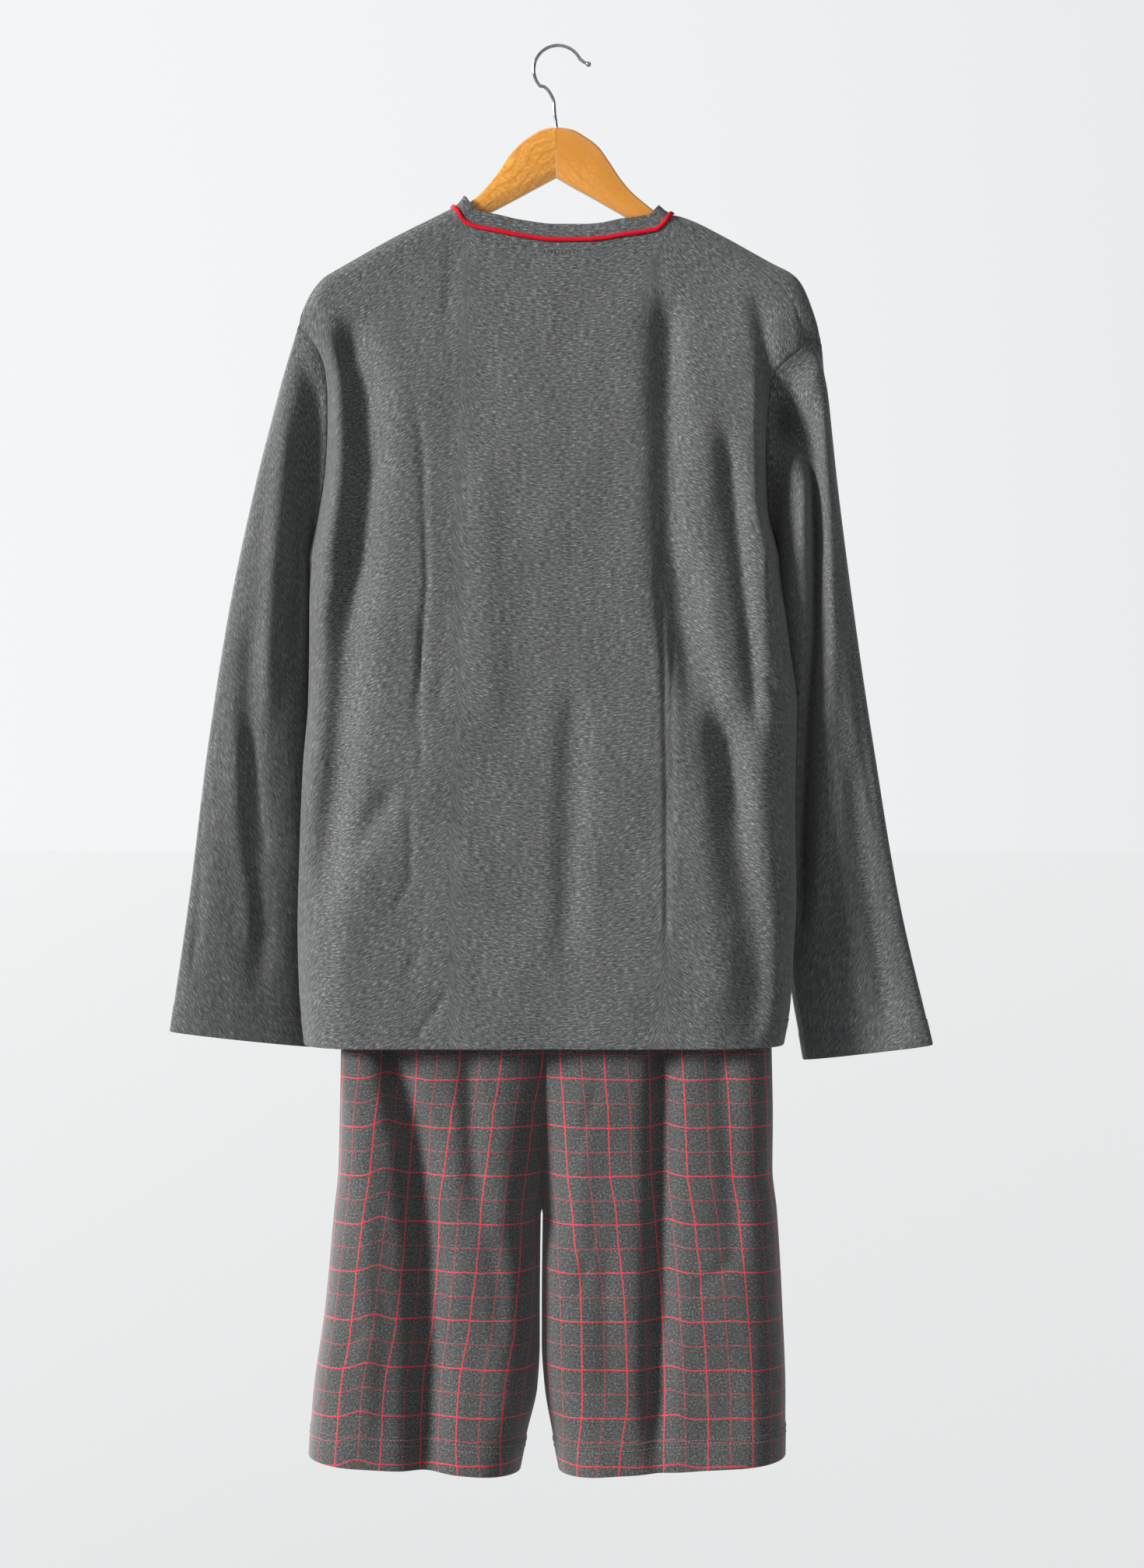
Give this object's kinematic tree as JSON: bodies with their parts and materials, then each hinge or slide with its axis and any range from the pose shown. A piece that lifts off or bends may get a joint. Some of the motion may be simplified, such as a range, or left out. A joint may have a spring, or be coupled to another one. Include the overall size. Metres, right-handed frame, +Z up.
{
  "type": "pyjama set on hanger",
  "caption": "Long-sleeved jersey pyjama top with piped round neck, hung over checked flannel shorts on a wooden hanger with a wire hook.",
  "frame": {"origin": "where the rod touches the inside of the hook, under its top", "axes": "+Z up, +X to the right when the set's back is looked at, +Y from the back towards the front"},
  "size_m": [0.661, 0.1074, 1.2254],
  "materials": {
    "jersey": "matt heather-grey single jersey",
    "piping": "matt red jersey binding",
    "flannel": "brushed flannel, grey with pale checks",
    "wood": "clear satin lacquer",
    "chrome": "polished wire",
    "nylon": "plain"
  },
  "bodies": {
    "root": {"back_panel": "jersey", "front_panel": "jersey", "sleeve_left": "jersey", "sleeve_right": "jersey", "neckband": "jersey", "neck_piping": "piping", "shorts_back_left": "flannel", "shorts_back_right": "flannel", "shorts_front_left": "flannel", "shorts_front_right": "flannel", "waistband": "flannel", "hanger_arm_left": "wood", "hanger_arm_right": "wood", "hanger_hook": "chrome", "tack_left": "nylon", "tack_right": "nylon"}
  },
  "joints": []
}
